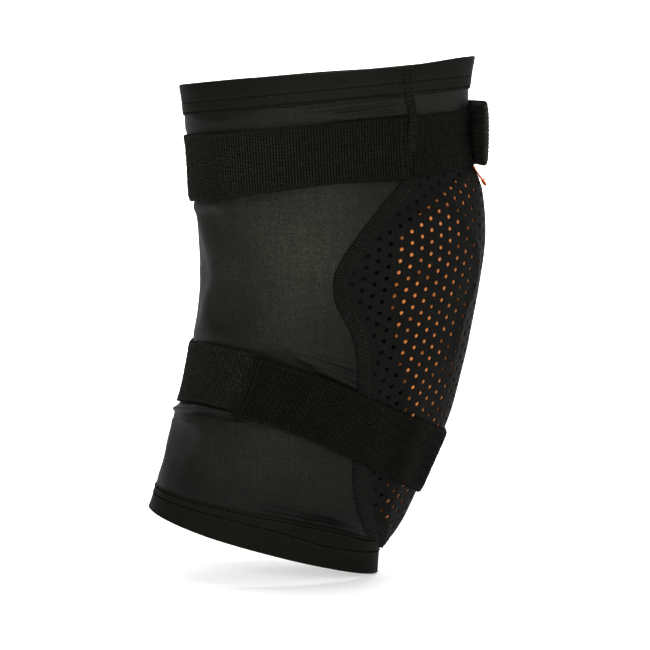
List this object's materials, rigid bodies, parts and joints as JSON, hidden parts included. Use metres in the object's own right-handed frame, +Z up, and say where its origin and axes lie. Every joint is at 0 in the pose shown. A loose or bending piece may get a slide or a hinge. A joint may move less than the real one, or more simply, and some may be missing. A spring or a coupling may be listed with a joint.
{
  "type": "knee guard",
  "caption": "Pre-bent stretch sleeve with a perforated front over an impact pad, hook-and-loop straps above and below the knee, folded hems with grip rings.",
  "frame": {"origin": "middle of the leg passage at knee height, level with the knee hinge axis", "axes": "+Z up the thigh, -Y towards the kneecap, -X towards the outer side of a right leg"},
  "size_m": [0.1204, 0.2085, 0.3158],
  "materials": {
    "stretch_fabric": "matte knitted",
    "perforated_fabric": "matte perforated",
    "lining_fabric": "matte knitted",
    "impact_pad": "matte foam rubber",
    "hem_fabric": "matte knitted",
    "thread": "satin",
    "silicone": "satin",
    "strap_webbing": "brushed loop pile",
    "loop_fabric": "brushed loop pile",
    "hook_tape": "matte",
    "ribbon": "woven satin"
  },
  "bodies": {
    "thigh": {"upper_rear_panel": "stretch_fabric", "upper_front_yoke": "stretch_fabric", "upper_perforated_cover": "perforated_fabric", "upper_pocket_lining": "lining_fabric", "impact_pad_knee_cup": "impact_pad", "top_hem_rear": "hem_fabric", "top_hem_front": "hem_fabric", "top_hem_stitching": "thread", "top_grip_silicone": "silicone", "upper_side_seams": "thread", "upper_strap": "strap_webbing", "upper_landing_band": "loop_fabric", "upper_strap_tack": "thread", "ribbon_tab": "ribbon", "knee_rear_panel": "stretch_fabric", "knee_perforated_cover": "perforated_fabric", "knee_pocket_lining": "lining_fabric", "impact_pad_flex_bridge": "impact_pad"},
    "calf": {"lower_rear_panel": "stretch_fabric", "lower_perforated_cover": "perforated_fabric", "lower_pocket_lining": "lining_fabric", "impact_pad_shin": "impact_pad", "bottom_hem": "hem_fabric", "bottom_hem_stitching": "thread", "bottom_grip_silicone": "silicone", "lower_side_seams": "thread", "lower_loop_band": "loop_fabric", "lower_strap": "strap_webbing", "lower_strap_tack": "thread"},
    "upper_free_end": {"upper_strap_end": "strap_webbing", "upper_hook_patch": "hook_tape"},
    "lower_free_root": {"lower_strap_peel": "strap_webbing"},
    "lower_free_tip": {"lower_strap_tip": "strap_webbing", "lower_hook_patch": "hook_tape"}
  },
  "joints": [
    {"name": "knee_flex", "type": "hinge", "parent": "thigh", "child": "calf", "pos_m": [0, 0.0037, 0], "axis": [1, 0, 0], "range_deg": [-20, 45], "stiffness_Nm_per_rad": 0.6, "deforming": ["knee_rear_panel", "knee_perforated_cover", "knee_pocket_lining", "impact_pad_flex_bridge"]},
    {"name": "upper_strap_peel", "type": "hinge", "parent": "thigh", "child": "upper_free_end", "pos_m": [0.02035, -0.0778, 0.078], "axis": [0, 0, 1], "range_deg": [0, 80]},
    {"name": "lower_strap_peel", "type": "hinge", "parent": "calf", "child": "lower_free_root", "pos_m": [-0.0592, 0.01, -0.0835], "axis": [0, -0.352, 0.936], "range_deg": [0, 70]},
    {"name": "lower_strap_curl", "type": "hinge", "parent": "lower_free_root", "child": "lower_free_tip", "pos_m": [-0.0587, 0.034, -0.0755], "axis": [0, -0.352, 0.936], "range_deg": [0, 56]}
  ],
  "couplings": [
    {"joint": "lower_strap_curl", "follows": "lower_strap_peel", "ratio": 0.8}
  ]
}
